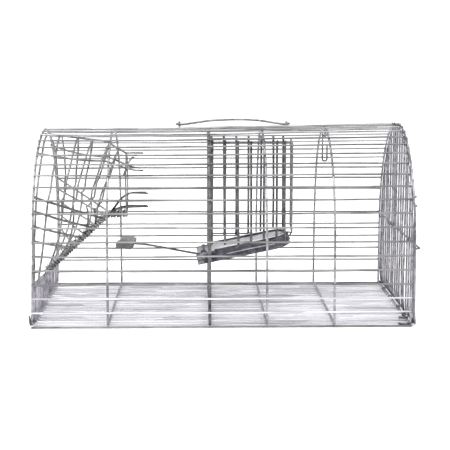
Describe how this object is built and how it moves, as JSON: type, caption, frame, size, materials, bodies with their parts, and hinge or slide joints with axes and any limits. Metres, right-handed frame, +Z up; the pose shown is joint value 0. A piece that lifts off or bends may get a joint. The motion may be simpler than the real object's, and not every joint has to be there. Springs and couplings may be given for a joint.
{
  "type": "multi-catch rodent trap cage",
  "caption": "Half-round galvanised wire live-catch cage with an entrance funnel, a tipping tray under a wire chute, a rear door and a carry handle.",
  "frame": {"origin": "on the ground, under the middle of the cage's outer box", "axes": "+X along the cage towards the rear door, +Z up, so -Y is the side seen with the funnel on the left"},
  "size_m": [0.4094, 0.252, 0.2136],
  "materials": {
    "galvanised_wire": "galvanised, mottled satin",
    "dark_wire": "aged galvanised wire",
    "sheet_metal": "galvanised sheet, spangled"
  },
  "bodies": {
    "cage": {"floor_mesh": "galvanised_wire", "near_side_mesh": "galvanised_wire", "near_lower_shoulder_mesh": "galvanised_wire", "near_upper_shoulder_mesh": "galvanised_wire", "roof_mesh": "galvanised_wire", "far_upper_shoulder_mesh": "galvanised_wire", "far_lower_shoulder_mesh": "galvanised_wire", "far_side_mesh": "galvanised_wire", "entrance_sill": "galvanised_wire", "funnel_top_panel": "galvanised_wire", "funnel_near_shoulder_panel": "galvanised_wire", "funnel_near_side_panel": "galvanised_wire", "funnel_near_ramp_panel": "galvanised_wire", "funnel_far_shoulder_panel": "galvanised_wire", "funnel_far_side_panel": "galvanised_wire", "funnel_far_ramp_panel": "galvanised_wire", "funnel_seam_lacing": "dark_wire", "partition_near_grille": "galvanised_wire", "partition_far_grille": "galvanised_wire", "partition_sill": "galvanised_wire", "chute_near_wall": "galvanised_wire", "chute_far_wall": "galvanised_wire", "chute_end_wall": "galvanised_wire", "tray_near_eye": "galvanised_wire", "tray_far_eye": "galvanised_wire", "door_near_hinge_eye": "dark_wire", "door_far_hinge_eye": "dark_wire", "handle_left_eye": "dark_wire", "handle_right_eye": "dark_wire", "bait_hook_hanger": "galvanised_wire"},
    "tray": {"tray_plate": "sheet_metal", "tray_pivot_rod": "galvanised_wire", "counterweight": "sheet_metal", "counterweight_arm": "dark_wire"},
    "door": {"rear_door": "galvanised_wire", "clip_near_guide": "dark_wire", "clip_far_guide": "dark_wire"},
    "clip": {"clip_bar": "galvanised_wire"},
    "handle": {"carry_handle": "galvanised_wire"},
    "hook": {"bait_hook": "galvanised_wire"}
  },
  "joints": [
    {"name": "tray_tip", "type": "hinge", "parent": "cage", "child": "tray", "pos_m": [-0.024, 0, 0.0605], "axis": [0, 1, 0], "range_deg": [0, 14]},
    {"name": "door_swing", "type": "hinge", "parent": "cage", "child": "door", "pos_m": [0.1988, 0, 0.0032], "axis": [0, 1, 0], "range_deg": [0, 85]},
    {"name": "clip_turn", "type": "hinge", "parent": "door", "child": "clip", "pos_m": [0.2019, 0, 0.084], "axis": [0, 1, 0], "range_deg": [0, 90]},
    {"name": "handle_swing", "type": "hinge", "parent": "cage", "child": "handle", "pos_m": [0.0098, 0.0075, 0.2066], "axis": [1, 0, 0], "range_deg": [0, 155]},
    {"name": "bait_hook_swing", "type": "hinge", "parent": "cage", "child": "hook", "pos_m": [0.1135, 0, 0.1955], "axis": [0, 1, 0], "range_deg": [-40, 40]}
  ]
}
